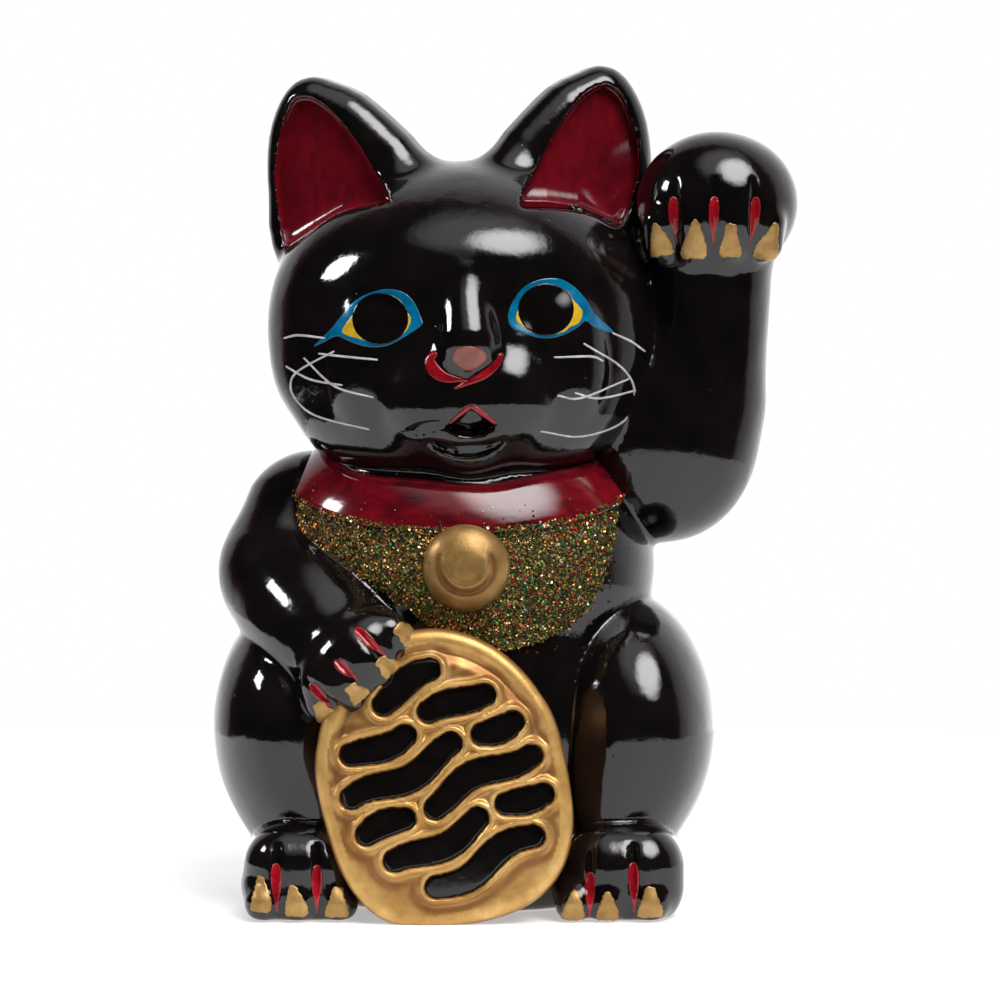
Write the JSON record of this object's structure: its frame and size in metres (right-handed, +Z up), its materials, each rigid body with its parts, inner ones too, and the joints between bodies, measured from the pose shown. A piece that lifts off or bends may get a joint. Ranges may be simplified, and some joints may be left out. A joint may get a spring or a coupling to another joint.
{
  "type": "beckoning cat figurine",
  "caption": "Seated hollow ceramic cat with one paw raised, a bib, bell and oval plate, a coin slot in the back and a pull-out stopper in the base.",
  "frame": {"origin": "on the resting plane, on the bare clay base slab, in the figurine's middle plane in front of the stopper", "axes": "+Z up; the cat faces -Y; +X is the cat's own left, the side of its raised paw"},
  "size_m": [0.1488, 0.1116, 0.2117],
  "materials": {
    "black_glaze": "high gloss",
    "bare_clay": "matt, unglazed",
    "stopper_rubber": "matt moulded",
    "red_paint": "glossy, brushed",
    "glitter_coat": "loose glitter flakes in clear lacquer",
    "gold_paint": "satin gold paint",
    "mark_black": "glossy",
    "eye_blue": "glossy, brushed",
    "eye_yellow": "glossy",
    "eye_black": "glossy",
    "nose_pink": "glossy",
    "whisker_white": "satin, brushed"
  },
  "bodies": {
    "casting": {"body_shell": "black_glaze", "base_slab": "bare_clay", "collar": "red_paint", "bib": "glitter_coat", "bell": "gold_paint", "koban": "gold_paint", "koban_marks": "mark_black", "ear_lining_left": "red_paint", "ear_lining_right": "red_paint", "eye_outline_left": "eye_blue", "eye_outline_right": "eye_blue", "iris_left": "eye_yellow", "iris_right": "eye_yellow", "pupil_left": "eye_black", "pupil_right": "eye_black", "nose_pad": "nose_pink", "nostril_marks": "red_paint", "mouth_mark": "red_paint", "whiskers_left": "whisker_white", "whiskers_right": "whisker_white", "toe_marks_raised_paw": "red_paint", "claws_raised_paw": "gold_paint", "toe_marks_resting_paw": "red_paint", "claws_resting_paw": "gold_paint", "toe_marks_left_foot": "red_paint", "claws_left_foot": "gold_paint", "toe_marks_right_foot": "red_paint", "claws_right_foot": "gold_paint"},
    "stopper": {"stopper": "stopper_rubber"}
  },
  "joints": [
    {"name": "stopper_pull", "type": "slide", "parent": "casting", "child": "stopper", "axis": [0, 0, -1], "range_m": [0, 0.03]}
  ]
}
